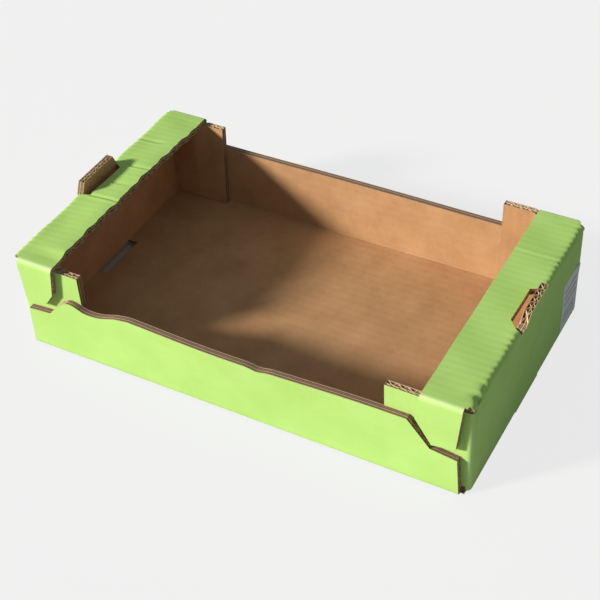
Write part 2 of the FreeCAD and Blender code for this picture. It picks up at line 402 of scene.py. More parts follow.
    def tongue_side(self, u: np.ndarray) -> np.ndarray:
        """Gives the tongue's half width along it."""
        widths = [self.tongue_root_half, self.tongue_tip_half]
        return np.interp(u, [self.u_tongue_taper, self.u_tip], widths)

    def slot_side(self, u: np.ndarray) -> np.ndarray:
        """Gives the half width of the opening round the tongue."""
        widths = [self.tongue_root_half + self.tongue_gap, self.tongue_tip_half + self.tongue_gap]
        return np.interp(u, [self.u_shelf - self.radius / 4.0, self.u_slot], widths)

    def on_tongue(self, u: np.ndarray, v: np.ndarray) -> np.ndarray:
        """Tells which places past the end wall belong to the tongue."""
        reach = self.u_tip + self.tip_gap / 2.0
        return (u > self.u_top - WELD) & (u < reach) & (v < self.tongue_side(u) + self.tongue_gap / 4.0)


@dataclass(frozen=True)
class EndCut:
    """The die-cut outline of one end of the sheet, for positive u and v.

    The tab is given by its corners below the fold as X and Z, inner side first, and
    the shoulder of the long wall by its corners from the middle of the tray out.
    """

    blank: Blank
    end: End
    flap_reach: float
    tab: tuple[tuple[float, float], ...]
    shoulder: tuple[tuple[float, float], ...] = SHOULDER
    wall_end: float = 0.193

    @property
    def v_flap_end(self) -> float:
        """The flap's free edge."""
        return self.blank.v_flap + self.flap_reach - self.blank.radius

    def tab_corners(self) -> list[tuple[float, float]]:
        """Lists the tab's corners on the flat sheet, from the shelf's inner edge round."""
        b = self.blank
        below = [(b.shelf_at(x), b.tab_at(z)) for x, z in self.tab]
        return [(b.u_end, b.v_wall)] + below + [(b.u_tab_cut, b.v_wall)]

    def wall_corners(self) -> list[tuple[float, float]]:
        """Lists the corners of the long wall's end on the flat sheet, from its top down."""
        b = self.blank
        return [(x, b.wall_at(z)) for x, z in self.shoulder] + [(self.wall_end, b.v_wall)]

    def slants(self) -> list[tuple[tuple[float, float], tuple[float, float]]]:
        """Lists the slanting cuts as pairs of flat places."""
        b = self.blank
        tab, wall = self.tab_corners(), self.wall_corners()
        root, tip = b.tongue_root_half, b.tongue_tip_half
        sides = [
            ((b.u_tongue_taper, root), (b.u_tip, tip)),
            ((b.u_shelf - b.radius / 4.0, root + b.tongue_gap), (b.u_slot, tip + b.tongue_gap)),
        ]
        return list(zip(tab, tab[1:])) + list(zip(wall, wall[1:])) + sides

    def holds(self, u: float, v: float) -> bool:
        """Tells if a flat place is on the sheet."""
        b = self.blank
        if v > b.v_wall and u < b.u_fold:
            return inside([(-b.half_length, b.v_wall), (-b.half_length, b.v_rim)] + self.wall_corners(), u, v)
        if u < b.u_fold:
            in_slot = u > b.u_base_slot and v < b.base_slot_half
            return not in_slot and (v < b.flap_face or u < self.wall_end)
        if u < b.u_wall:
            in_slot = v < b.base_slot_half
            on_skirt = v < b.base_slot_half - b.base_slot_gap and u > b.u_skirt
            return on_skirt or (not in_slot and v < b.v_flap)
        if u < b.u_top:
            on_flap = b.u_flap_foot < u < b.u_flap_top and v < self.v_flap_end
            return v < b.v_corner or on_flap or (u < b.u_flap_foot and v < b.v_flap)
        if v > b.v_wall:
            return inside(self.tab_corners(), u, v)
        if u > b.u_end:
            return False
        if v > b.v_fold:
            return u > b.u_tab_cut
        if u < b.u_shelf and v > b.v_shelf_cut:
            return False
        in_slot = u < b.u_slot and v < b.slot_side(u)
        return not in_slot or (u < b.u_tip and v < b.tongue_side(u))

    def tab_inner(self, v: float) -> float:
        """Gives the inner edge of shelf, fold and tab."""
        corners = self.tab_corners()[:3]
        return float(np.interp(v, [c[1] for c in corners], [c[0] for c in corners]))

    def tab_outer(self, v: float) -> float:
        """Gives the outer edge of the tab and its fold."""
        low, top = self.tab_corners()[3:]
        return float(np.interp(v, [top[1], low[1]], [top[0], low[0]]))

    def wall_edge(self, v: float) -> float:
        """Gives the end of the long wall and its fold."""
        corners = list(reversed(self.wall_corners()))
        return float(np.interp(v, [c[1] for c in corners], [c[0] for c in corners]))

    def fluted_out(self, u: float, v: float) -> bool:
        """Tells if a cut that faces away from the middle shows the flutes."""
        b = self.blank
        shelf = abs(u - b.u_end) < WELD and v < b.v_wall
        tab = v > b.v_wall and u > self.tab_corners()[2][0] - WELD
        flap = abs(u - b.u_flap_top) < WELD and v > b.v_corner
        wall = u < b.u_fold - WELD and v > b.v_fold
        tip = abs(u - b.u_tip) < WELD and v < b.tongue_tip_half
        return shelf or tab or flap or wall or tip

    def fluted_in(self, u: float, v: float) -> bool:
        """Tells if a cut that faces the middle shows the flutes."""
        b = self.blank
        tab = b.u_shelf < u < self.tab_corners()[3][0] + WELD and v > b.v_fold
        slot = abs(u - b.u_slot) < WELD and v < b.tongue_tip_half + b.tongue_gap
        corner = abs(u - b.u_shelf) < WELD and v > b.v_shelf_cut
        return tab or slot or corner


@dataclass(frozen=True)
class Handling:
    """How use has bent the folded tray: bowed walls, lifted edges, creases and dents."""

    blank: Blank
    wall_bow: float = 0.0038
    bow_half: float = 0.130
    tongue_lean: float = 0.0029
    back_lean: float = 0.0030
    flap_lean: float = 0.0050
    right_flap_rise: float = 0.0055
    left_flap_rise: float = 0.0022
    shelf_lift: float = 0.003
    lift_start: tuple[float, float] = (-0.107, -0.094)
    lift_stop: tuple[float, float] = (0.030, 0.108)
    edge_wander: float = 0.0009
    crease_depth: float = 0.0006
    crease_spread: float = 0.0015
    creases: tuple[tuple[float, float, float], ...] = (
        (-0.0225, 0.163, 0.190),
        (0.000, 0.166, 0.182),
        (0.0265, 0.161, 0.186),
        (0.0668, 0.175, 0.197),
    )
    ridge: float = 0.0635
    ridge_height: float = 0.0002
    flute_pitch: float = 0.0065
    scallop: float = 0.0007
    washboard: float = 0.00002
    torn_slot: float = 0.0045
    torn_reach: tuple[float, float, float] = (0.0075, 0.016, 0.009)
    torn_drop: float = 0.0088
    torn_stretch: tuple[float, float] = (0.0135, 0.0215)
    rim_dent: tuple[float, float, float] = (-0.029, 0.006, 0.0020)
    corner_dents: tuple[tuple[float, float, float], ...] = (
        (-0.102, 0.0035, 0.0022),
        (-0.0905, 0.0025, 0.0011),
    )
    shelf_bend: float = 0.0006
    worn_slope: tuple[tuple[float, float], ...] = ((0.158, 0.0538), (0.1695, 0.0410), (0.1898, 0.0392))
    worn_hump: tuple[tuple[float, float], ...] = (
        (0.090, 0.063),
        (0.104, 0.0600),
        (0.117, 0.0554),
        (0.127, 0.0540),
        (0.136, 0.0550),
        (0.143, 0.0584),
        (0.150, 0.0586),
        (0.158, 0.0538),
    )

    def settle(self, flat: np.ndarray, folded: np.ndarray) -> np.ndarray:
        """Moves folded places to where they have settled in use.

        Args:
            flat: The same places on the flat sheet.
            folded: Places in the crisp tray.

        Returns:
            The places in the used tray.
        """
        place = folded.copy()
        self._wear_shoulder(flat, place)
        self._bow_walls(flat, place)
        self._lean_back(flat, place)
        self._lean_tongues(flat, place)
        self._tear_slot(flat, place)
        self._lift_shelves(flat, place)
        self._crease_shelves(flat, place)
        self._scallop_folds(flat, place)
        self._dent_corner(flat, place)
        return place

    def _on_wall(self, flat: np.ndarray) -> np.ndarray:
        """Tells which places are on a long wall."""
        b = self.blank
        return (np.abs(flat[:, 0]) < b.u_fold - WELD) & (np.abs(flat[:, 1]) > b.v_fold)

    def _on_shelf(self, flat: np.ndarray) -> np.ndarray:
        """Tells which places are on a shelf or its outer fold, but not on the tongue."""
        b = self.blank
        u, v = np.abs(flat[:, 0]), np.abs(flat[:, 1])
        return (u > b.u_top + WELD) & (v < b.v_fold) & ~b.on_tongue(u, v)

    def _bow_walls(self, flat: np.ndarray, place: np.ndarray) -> None:
        """Bows the middle of both long walls outwards, most at the top."""
        b = self.blank
        bowed = self._on_wall(flat) & (np.abs(flat[:, 0]) < self.bow_half)
        along = np.cos(math.pi * flat[:, 0] / (2.0 * self.bow_half)) ** 2
        up = np.clip((place[:, 2] - b.radius) / (b.wall_height - b.radius), 0.0, 1.0)
        out = self.wall_bow * along * up * np.sign(flat[:, 1])
        place[:, 1] += np.where(bowed, out, 0.0)

    def _lean_back(self, flat: np.ndarray, place: np.ndarray) -> None:
        """Leans the back wall outwards, and the free ends of its flaps with it, a little raised."""
        b = self.blank
        x, up = np.abs(place[:, 0]), place[:, 2] / b.wall_height
        wall = self._on_wall(flat) & (flat[:, 1] > 0.0)
        bowed = np.cos(math.pi * np.minimum(x, self.bow_half) / (2.0 * self.bow_half)) ** 2
        spare = (1.0 - bowed) * (1.0 - smooth_step(x, 0.150, 0.190))
        place[:, 1] += np.where(wall, self.back_lean * up * spare, 0.0)
        flap = (np.abs(flat[:, 0]) > b.u_fold) & (np.abs(flat[:, 0]) < b.u_top) & (flat[:, 1] > b.v_corner)
        free = (1.0 - smooth_step(x, 0.157, 0.169)) * place[:, 2] / b.flap_top
        rise = np.where(flat[:, 0] > 0.0, self.right_flap_rise, self.left_flap_rise)
        place[:, 1] += np.where(flap, self.flap_lean * free, 0.0)
        place[:, 2] += np.where(flap, rise * free, 0.0)

    def _wear_shoulder(self, flat: np.ndarray, place: np.ndarray) -> None:
        """Wears the front wall's left shoulder into a hump and a dip, and dents its top."""
        b = self.blank
        x, v = -flat[:, 0], -flat[:, 1]
        front = self._on_wall(flat) & (v > b.v_wall)
        crisp = np.interp(x, *zip(*SHOULDER))
        stations, heights = (list(part) for part in zip(*self.worn_hump))
        worn = flowing(np.clip(x, stations[0], stations[-1]), stations, heights)
        slope = np.interp(x, *zip(*self.worn_slope))
        worn = np.where(x > stations[-1], slope, worn)
        place_x, spread, depth = self.rim_dent
        worn -= depth * hump(x, place_x, spread) * (x < 0.0)
        ratio = (worn - b.radius) / (crisp - b.radius)
        place[:, 2] = np.where(front, b.radius + (place[:, 2] - b.radius) * ratio, place[:, 2])

    def _lean_tongues(self, flat: np.ndarray, place: np.ndarray) -> None:
        """Leans the right tongue outwards and tears its near end."""
        b = self.blank
        u, v = np.abs(flat[:, 0]), -flat[:, 1]
        tongue = b.on_tongue(u, np.abs(v)) & (flat[:, 0] > 0.0)
        rise = (u - b.u_top) / (b.u_tip - b.u_top)
        place[:, 0] += np.where(tongue, self.tongue_lean * rise, 0.0)
        near = smooth_step(v, *self.torn_stretch)
        ragged = 0.78 + 0.22 * np.sin(v * 2300.0) * np.cos(flat[:, 2] * 1500.0)
        place[:, 2] -= np.where(tongue, self.torn_drop * near * rise * ragged, 0.0)

    def _tear_slot(self, flat: np.ndarray, place: np.ndarray) -> None:
        """Draws in the near corner of the right tongue's opening, where the tear stopped."""
        b = self.blank
        corner = b.slot_x
        outer, inner, spread = self.torn_reach
        reach = np.where(place[:, 0] > corner, outer, inner)
        along = np.clip(1.0 - np.abs(place[:, 0] - corner) / reach, 0.0, 1.0)
        across = hump(-flat[:, 1], b.tongue_tip_half + b.tongue_gap, spread)
        pull = self.torn_slot * along * across
        place[:, 1] += np.where(self._on_shelf(flat) & (flat[:, 0] > 0.0), pull, 0.0)

    def _lift_shelves(self, flat: np.ndarray, place: np.ndarray) -> None:
        """Lifts the left shelf's inner edge between its tabs."""
        b = self.blank
        u, v = np.abs(flat[:, 0]), np.abs(flat[:, 1])
        across = smooth_step(u, b.u_shelf, b.u_end) ** 1.2
        near = smooth_step(flat[:, 1], *self.lift_start)
        far = 1.0 - smooth_step(flat[:, 1], *self.lift_stop)
        left = self._on_shelf(flat) & (flat[:, 0] < 0.0)
        place[:, 2] += np.where(left, self.shelf_lift * across * near * far, 0.0)
        edge = smooth_step(u, b.u_end - 0.008, b.u_end) * (1.0 - smooth_step(v, 0.090, 0.105))
        wander = np.sin(flat[:, 1] * 310.0) * np.sin(flat[:, 1] * 83.0 + 0.7)
        place[:, 0] += np.where(left, self.edge_wander * wander * edge, 0.0)
        bend = self.shelf_bend * np.sin(flat[:, 1] * 95.0 + 0.4) * np.sin(u * 60.0)
        place[:, 2] += np.where(self._on_shelf(flat), bend * (1.0 - smooth_step(v, 0.095, b.v_fold)), 0.0)

    def _crease_shelves(self, flat: np.ndarray, place: np.ndarray) -> None:
        """Presses the left shelf's creases and the right shelf's ridge along the flutes."""
        x, v = place[:, 0], flat[:, 1]
        left = self._on_shelf(flat) & (flat[:, 0] < 0.0)
        for middle, start, stop in self.creases:
            reach = smooth_step(-x, start - 0.003, start) * (1.0 - smooth_step(-x, stop, stop + 0.003))
            groove = hump(v, middle, self.crease_spread) - 0.4 * hump(v, middle - 0.003, 0.0015)
            place[:, 2] -= np.where(left, self.crease_depth * groove * reach, 0.0)
        right = self._on_shelf(flat) & (flat[:, 0] > 0.0)
        fold = hump(v, self.ridge, 0.0014) - 0.7 * hump(v, self.ridge - 0.003, 0.0016)
        place[:, 2] += np.where(right, self.ridge_height * fold, 0.0)

    def _scallop_folds(self, flat: np.ndarray, place: np.ndarray) -> None:
        """Pinches the liner between the flutes where the shelf's fold crosses them."""
        b = self.blank
        u, v = np.abs(flat[:, 0]), flat[:, 1]
        strength = 0.6 + 0.4 * np.sin(v * 190.0) * np.sin(v * 61.0 + 1.3)
        wave = 0.5 - 0.5 * np.cos(2.0 * math.pi * v / self.flute_pitch + 0.8 * np.sin(v * 140.0))
        shelf = self._on_shelf(flat) & (flat[:, 2] < b.board / 2.0)
        middle = b.u_top + b.arc * 0.62
        pinch = self.scallop * strength * wave * hump(u, middle, b.arc * 0.42)
        place[:, 0] -= np.where(shelf, pinch * np.sign(flat[:, 0]), 0.0)
        sink = self.washboard * wave * smooth_step(u, b.u_shelf, b.u_shelf + 0.003)
        place[:, 2] -= np.where(shelf, 0.8 * pinch + sink, 0.0)

    def _dent_corner(self, flat: np.ndarray, place: np.ndarray) -> None:
        """Dents the right shelf's fold near the front and frays the cut corner."""
        right = self._on_shelf(flat) & (flat[:, 0] > 0.0) & (flat[:, 2] < self.blank.board / 2.0)
        near = sum(depth * hump(place[:, 1], y, spread) for y, spread, depth in self.corner_dents)
        dent = near * hump(place[:, 0], 0.199, 0.0035)
        place[:, 2] -= np.where(right, dent, 0.0)
        place[:, 0] -= np.where(right, 0.8 * dent, 0.0)


class Bench:
    """Edit-mode work on one mesh: picking by place, cutting, insetting and moving."""

    def __init__(self, piece: bpy.types.Object) -> None:
        """Puts a piece on the bench in edit mode."""
        self.piece = piece
        bpy.context.view_layer.objects.active = piece
        bpy.ops.object.mode_set(mode="EDIT")
        bpy.ops.mesh.select_mode(type="FACE")

    def pick_faces(self, wanted: Place) -> int:
        """Selects the faces whose centre and normal pass a test.

        Args:
            wanted: Takes a face's centre and normal and tells if it is wanted.

        Returns:
            How many faces were selected.
        """
        bpy.ops.mesh.select_all(action="DESELECT")
        mesh = bmesh.from_edit_mesh(self.piece.data)
        count = 0
        for face in mesh.faces:
            if wanted(face.calc_center_median(), face.normal):
                face.select_set(True)
                count += 1
        bmesh.update_edit_mesh(self.piece.data)
        return count

    def cut(
        self, point: tuple[float, float], across: tuple[float, float], where: Place | None = None
    ) -> None:
        """Cuts faces along an upright plane.

        Args:
            point: A place on the cut.
            across: The direction at right angles to the cut.
            where: Tells which faces are cut, or all of them.
        """
        if where is None:
            bpy.ops.mesh.select_all(action="SELECT")
        elif not self.pick_faces(where):
            return
        bpy.ops.mesh.bisect(
            plane_co=(point[0], point[1], 0.0),
            plane_no=(across[0], across[1], 0.0),
            threshold=ON_PLANE,
        )

    def remove(self, unwanted: Place) -> None:
        """Deletes the faces that pass a test."""
        if self.pick_faces(unwanted):
            bpy.ops.mesh.delete(type="FACE")

    def done(self) -> None:
        """Takes the piece off the bench."""
        bpy.ops.object.mode_set(mode="OBJECT")


def clear_selection() -> None:
    """Deselects every object."""
    bpy.ops.object.select_all(action="DESELECT")


def use_modifier(piece: bpy.types.Object, kind: str, **settings: object) -> None:
    """Adds a modifier to a piece and applies it.

    Args:
        piece: The piece to change.
        kind: The modifier's type.
        settings: The modifier's values.
    """
    clear_selection()
    piece.select_set(True)
    bpy.context.view_layer.objects.active = piece
    modifier = piece.modifiers.new(kind.lower(), kind)
    for name, value in settings.items():
        setattr(modifier, name, value)
    bpy.ops.object.modifier_apply(modifier=modifier.name)


def places_of(piece: bpy.types.Object) -> np.ndarray:
    """Reads a mesh's vertex places, one a row."""
    read = np.empty(len(piece.data.vertices) * 3)
    piece.data.vertices.foreach_get("co", read)
    return read.reshape(-1, 3)


def put_places(piece: bpy.types.Object, places: np.ndarray) -> None:
    """Writes a mesh's vertex places, one a row."""
    piece.data.vertices.foreach_set("co", places.astype(np.float32).ravel())
    piece.data.update()


def shade(piece: bpy.types.Object, degrees: float) -> None:
    """Shades a piece smooth, with edges above an angle kept sharp."""
    clear_selection()
    piece.select_set(True)
    bpy.context.view_layer.objects.active = piece
    bpy.ops.object.shade_smooth_by_angle(angle=math.radians(degrees))


def stand_for(piece: bpy.types.Object, node: str) -> None:
    """Lets a piece ride on the tray and stand for a node."""
    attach(piece, "root")
    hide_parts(node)
    LOG.info("%s: %d faces, stands for %s", piece.name, len(piece.data.polygons), node)


def mark_flat(piece: bpy.types.Object) -> np.ndarray:
    """Keeps the flat sheet's places on a mesh for its materials, and returns them."""
    flat = places_of(piece)
    attribute = piece.data.attributes.new("blank", "FLOAT_VECTOR", "POINT")
    attribute.data.foreach_set("vector", flat.astype(np.float32).ravel())
    return flat


@dataclass
class FoldedSheet:
    """The whole sheet: base, walls, flaps, shelves, tabs and tongues."""

    blank: Blank
    ends: list[EndCut]
    handling: Handling
    materials: list[bpy.types.Material]
    grid: float = 0.0045
    fine_grid: float = 0.0065 / 4.0
    hump_grid: float = 0.0022
    fold_steps: int = 6
    liner: float = 0.00035
    channel: float = 0.007
    smooth_angle: float = 38.0

    def build(self) -> bpy.types.Object:
        """Cuts the blank, gives it thickness, opens its cut edges and folds it.

        Returns:
            The finished sheet.
        """
        sheet = self._join([self._quarter(cut) for cut in self.ends])
        use_modifier(sheet, "MIRROR", use_axis=(False, True, False), use_clip=True, merge_threshold=WELD)
        for material in self.materials:
            sheet.data.materials.append(material)
        use_modifier(
            sheet,
            "SOLIDIFY",
            thickness=self.blank.board,
            offset=-1.0,
            material_offset=int(Slot.KRAFT),
            material_offset_rim=int(Slot.CUT),
        )
        self._open_edges(sheet)
        flat = mark_flat(sheet)
        put_places(sheet, self.handling.settle(flat, self.blank.fold(flat)))
        shade(sheet, self.smooth_angle)
        stand_for(sheet, "folded_tray")
        return sheet

    def _join(self, quarters: list[bpy.types.Object]) -> bpy.types.Object:
        """Joins the two ends' quarters along the middle of the tray."""
        clear_selection()
        for quarter in quarters:
            quarter.select_set(True)
        bpy.context.view_layer.objects.active = quarters[0]
        bpy.ops.object.join()
        sheet = bpy.context.object
        sheet.name = "folded_sheet"
        bench = Bench(sheet)
        bpy.ops.mesh.select_all(action="SELECT")
        bpy.ops.mesh.remove_doubles(threshold=WELD)
        bench.done()
        return sheet

    def _quarter(self, cut: EndCut) -> bpy.types.Object:
        """Cuts the back quarter at one end of the flat sheet from a rectangle.

        Args:
            cut: The end's outline.

        Returns:
            The flat quarter, printed side down.
        """
        b = self.blank
        long = max(b.u_end, max(u for u, _ in cut.tab_corners()))
        wide = max(b.v_rim, cut.v_flap_end)
        clear_selection()
        bpy.ops.mesh.primitive_plane_add(size=1.0)
        sheet = bpy.context.object
        bench = Bench(sheet)
        bpy.ops.mesh.select_all(action="SELECT")
        bpy.ops.transform.resize(value=(long, wide, 1.0))
        bpy.ops.transform.translate(value=(long / 2.0, wide / 2.0, 0.0))
        bpy.ops.mesh.flip_normals()
        self._cut_along(bench, cut)
        self._cut_across(bench, cut)
        for first, second in cut.slants():
            self._cut_slant(bench, first, second)
        bench.remove(lambda centre, _: not cut.holds(centre.x, centre.y))
        if cut.end is End.LEFT:
            bpy.ops.mesh.select_all(action="SELECT")
            bpy.ops.transform.resize(value=(-1.0, 1.0, 1.0), center_override=(0.0, 0.0, 0.0))
            bpy.ops.mesh.flip_normals()
        bench.done()
        return sheet

    def _cut_along(self, bench: Bench, cut: EndCut) -> None:
        """Cuts a quarter across its length, at panels, folds and grid."""
        b = self.blank
        fold = b.arc / self.fold_steps
        lines = steps(0.0, b.u_base_slot, self.grid) + steps(b.u_base_slot, b.u_fold, self.grid)
        lines += [cut.wall_end] + steps(b.u_fold, b.u_wall, fold) + [b.u_skirt, b.u_flap_foot]
        lines += steps(b.u_flap_foot, b.u_flap_top, self.grid) + [b.u_top]
        lines += steps(b.u_top, b.u_shelf, fold) + [b.u_tongue_taper, b.u_tab_cut, b.u_tip, b.u_slot]
        lines += steps(b.u_slot, b.u_end, self.grid)
        for u in lines:
            bench.cut((u, 0.0), (1.0, 0.0))
        start, stop = self.handling.worn_hump[0][0], self.handling.worn_slope[1][0]
        if cut.end is End.LEFT:
            for u in steps(start, stop, self.hump_grid):
                bench.cut((u, 0.0), (1.0, 0.0), lambda c, _: start < c.x < stop and c.y > b.v_wall)

    def _cut_across(self, bench: Bench, cut: EndCut) -> None:
        """Cuts a quarter across its width, at panels, folds and grid."""
        b = self.blank
        fold = b.arc / self.fold_steps
        slot_half = b.tongue_tip_half + b.tongue_gap
        lines = steps(0.0, b.tongue_tip_half, self.grid)
        lines += [slot_half, b.base_slot_half - b.base_slot_gap, b.base_slot_half, b.tongue_root_half]
        lines += [b.tongue_root_half + b.tongue_gap]
        lines += steps(b.tongue_root_half + b.tongue_gap, b.v_corner, self.grid)
        for v in lines:
            bench.cut((0.0, v), (0.0, 1.0))
        side = [b.v_shelf_cut, b.v_fold] + steps(b.v_fold, b.v_wall, fold)
        side += steps(b.v_wall, b.v_rim, self.grid)
        for v in side:
            bench.cut((0.0, v), (0.0, 1.0), lambda c, _: c.x < b.u_fold or c.x > b.u_top)
        for v in steps(b.v_corner, b.v_flap, fold) + steps(b.v_flap, cut.v_flap_end, self.grid):
            bench.cut((0.0, v), (0.0, 1.0), lambda c, _: cut.wall_end < c.x < b.u_top)
        bench.cut((0.0, b.flap_face), (0.0, 1.0), lambda c, _: cut.wall_end < c.x < b.u_fold)
        for v in steps(0.0, b.v_shelf_cut, self.fine_grid):
            bench.cut((0.0, v), (0.0, 1.0), lambda c, _: b.u_top < c.x < b.u_end)

    def _cut_slant(self, bench: Bench, first: tuple[float, float], second: tuple[float, float]) -> None:
        """Cuts the faces along one slanting edge.

        Args:
            bench: The bench with the quarter on it.
            first: One end of the edge.
            second: Its other end.
        """
        low_u, high_u = min(first[0], second[0]) - WELD, max(first[0], second[0]) + WELD
        low_v, high_v = min(first[1], second[1]) - WELD, max(first[1], second[1]) + WELD
        across = (second[1] - first[1], first[0] - second[0])
        reach = self.grid

        def near(centre: Vector, _: Vector) -> bool:
            """Tells if a face lies in the edge's own rectangle, or a little past it."""
            in_u = low_u - reach < centre.x < high_u + reach
            return in_u and low_v - reach < centre.y < high_v + reach

        bench.cut(first, across, near)

    def _fluted(self, centre: Vector, normal: Vector, outward: float) -> bool:
        """Tells if a face of the rim is a cut across the flutes that shows.

        Args:
            centre: The face's flat centre.
            normal: The face's flat normal.
            outward: 1 for cuts that face away from the middle, -1 for those that face it.

        Returns:
            Whether the flutes show there.
        """
        side = math.copysign(1.0, centre.x)
        if abs(normal.z) > 0.5 or normal.x * side * outward < 0.4:
            return False
        cut = next(cut for cut in self.ends if cut.end.value == side)
        shows = cut.fluted_out if outward > 0.0 else cut.fluted_in
        return shows(abs(centre.x), abs(centre.y))

    def _open_edges(self, sheet: bpy.types.Object) -> None:
        """Hollows the board behind each cut across the flutes, leaving its liners, and gives the hollow a
        dark channel material as painted shade.
        """
        bench = Bench(sheet)
        for outward in (1.0, -1.0):
            bench.pick_faces(lambda c, n, way=outward: self._fluted(c, n, way))
            bpy.ops.mesh.inset(thickness=self.liner, use_even_offset=True, use_boundary=True)
            # The hollow's faces take the channel material, painted dark as shade deep in the flutes.
            sheet.active_material_index = int(Slot.CHANNEL)
            bpy.ops.object.material_slot_assign()
            self._sink(bench, outward)
        bench.done()

    def _sink(self, bench: Bench, outward: float) -> None:
        """Pushes the picked inner faces into the board along the flutes.

        Args:
            bench: The bench with the sheet on it.
            outward: Which way the cuts face, as for the picking.
        """
        mesh = bmesh.from_edit_mesh(bench.piece.data)
        inner = {face.index for face in mesh.faces if face.select}
        for side in (1.0, -1.0):
            bpy.ops.mesh.select_all(action="DESELECT")
            mesh = bmesh.from_edit_mesh(bench.piece.data)
            mesh.faces.ensure_lookup_table()
            for face in mesh.faces:
                chosen = face.index in inner and face.calc_center_median().x * side > 0.0
                face.select_set(chosen)
            bmesh.update_edit_mesh(bench.piece.data)
            push = -outward * side * self.channel
            bpy.ops.mesh.extrude_region_move(TRANSFORM_OT_translate={"value": (push, 0.0, 0.0)})


@dataclass(frozen=True)
class Flute:
    """One layer of fluted paper in the board."""

    pitch: float
    height: float
    foot: float


@dataclass
class FluteEdges:
    """The waves of both flutes, and the liner between them, in the board's cut edges."""

    sheet: FoldedSheet
    material: bpy.types.Material
    paper: float = 0.0004
    samples: int = 10
    set_back: float = 0.00015
    fine: Flute = Flute(0.0065, 0.0021, 0.00035)
    coarse: Flute = Flute(0.008, 0.0030, 0.00265)

    def build(self) -> bpy.types.Object:
        """Lays waves along every cut edge at the back, then mirrors and folds them.

        Returns:
            The finished waves.
        """
        runs = []
        for cut in self.sheet.ends:
            for edge in self._edges(cut):
                runs += [self._run(edge, flute, cut.end) for flute in (self.fine, self.coarse, None)]
        clear_selection()
        for run in runs:
            run.select_set(True)
        bpy.context.view_layer.objects.active = runs[0]
        bpy.ops.object.join()
        waves = bpy.context.object
        waves.name = "flute_edges"
        use_modifier(waves, "SOLIDIFY", thickness=self.paper, offset=0.0)
        use_modifier(waves, "MIRROR", use_axis=(False, True, False), use_mirror_merge=False)
        waves.data.materials.append(self.material)
        flat = mark_flat(waves)
        put_places(waves, self.sheet.handling.settle(flat, self.sheet.blank.fold(flat)))
        shade(waves, 50.0)
        stand_for(waves, "folded_tray")
        return waves

    def _edges(self, cut: EndCut) -> list[tuple[Callable[[float], float], float, float, float]]:
        """Lists an end's cut edges: u for each v, the v limits, and the way in.

        Args:
            cut: The end's outline.

        Returns:
            The edges of the end's back half.
        """
        b = self.sheet.blank
        margin = self.sheet.liner
        tab, wall = cut.tab_corners(), cut.wall_corners()
        return [
            (cut.tab_inner, 0.0, tab[2][1] - margin, -1.0),
            (cut.tab_outer, b.v_fold, tab[3][1] - margin, 1.0),
            (lambda v: b.u_flap_top, b.v_corner + margin, cut.v_flap_end - margin, -1.0),
            (cut.wall_edge, b.v_fold, wall[2][1] - margin, -1.0),
            (cut.wall_edge, wall[1][1] + margin, b.v_rim - margin, -1.0),
            (lambda v: b.u_tip, 0.0, b.tongue_tip_half - margin, -1.0),
            (lambda v: b.u_slot, 0.0, b.tongue_tip_half + b.tongue_gap - margin, 1.0),
        ]

    def _run(
        self,
        edge: tuple[Callable[[float], float], float, float, float],
        flute: Flute | None,
        end: End,
    ) -> bpy.types.Object:
        """Makes one strip along a cut edge: a wave, or the flat liner between the two.

        Args:
            edge: The edge's u for each v, its v limits, and the way into the board.
            flute: The wave's layer, or None for the middle liner.
            end: The end of the tray that it is at.

        Returns:
            The flat strip, one paper surface without thickness.
        """
        place, low, high, inward = edge
        pitch = flute.pitch if flute else self.sheet.grid
        per_pitch = self.samples if flute else 2
        count = max(2, round((high - low) / pitch * per_pitch))
        clear_selection()
        bpy.ops.mesh.primitive_grid_add(x_subdivisions=1, y_subdivisions=count, size=1.0)
        strip = bpy.context.object
        spots = places_of(strip)
        v = low + (spots[:, 1] + 0.5) * (high - low)
        depth = self.set_back + (spots[:, 0] + 0.5) * (self.sheet.channel - self.set_back)
        spots[:, 0] = (np.array([place(float(at)) for at in v]) + inward * depth) * end.value
        spots[:, 1] = v
        spots[:, 2] = self._layer(v, flute)
        put_places(strip, spots)
        return strip

    def _layer(self, v: np.ndarray, flute: Flute | None) -> np.ndarray:
        """Gives a strip's depth in the board along its edge."""
        if flute is None:
            return np.full_like(v, (self.fine.foot + self.fine.height + self.coarse.foot) / 2.0)
        half = self.paper / 2.0
        wave = 0.5 - 0.5 * np.cos(2.0 * math.pi * v / flute.pitch)
        return flute.foot + half + (flute.height - self.paper) * wave


@dataclass
class EndLabel:
    """The paper label on the right end wall, with plain ruled lines."""

    blank: Blank
    material: bpy.types.Material
    curl: float = 0.0009
    grid: int = 12

    def build(self) -> bpy.types.Object:
        """Makes the label as a thin sheet on the wall with one lifted corner.

        Returns:
            The finished label.
        """
        low, high = (Vector(corner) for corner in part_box("end_label"))
        clear_selection()
        bpy.ops.mesh.primitive_grid_add(x_subdivisions=self.grid, y_subdivisions=self.grid, size=1.0)
        label = bpy.context.object
        label.name = "ruled_label"
        spots = places_of(label)
        across, up = spots[:, 0] + 0.5, spots[:, 1] + 0.5
        lift = self.curl * np.clip(across + up - 1.55, 0.0, 1.0) ** 2 / 0.2
        made = np.stack(
            [low.x + 0.00004 + lift, low.y + across * (high.y - low.y), low.z + up * (high.z - low.z)],
            axis=1,
        )
        put_places(label, made)
        use_modifier(label, "SOLIDIFY", thickness=0.00012, offset=1.0)
        label.data.materials.append(self.material)
        shade(label, 40.0)
        stand_for(label, "end_label")
        return label


def new_material(name: str) -> tuple[bpy.types.Material, bpy.types.NodeTree, bpy.types.Node]:
    """Makes a node material.

    Args:
        name: The material's name.

    Returns:
        The material, its tree and its Principled shader.
    """
    material = bpy.data.materials.new(name)
    material.use_nodes = True
    tree = material.node_tree
    shader = next(node for node in tree.nodes if node.type == "BSDF_PRINCIPLED")
    return material, tree, shader


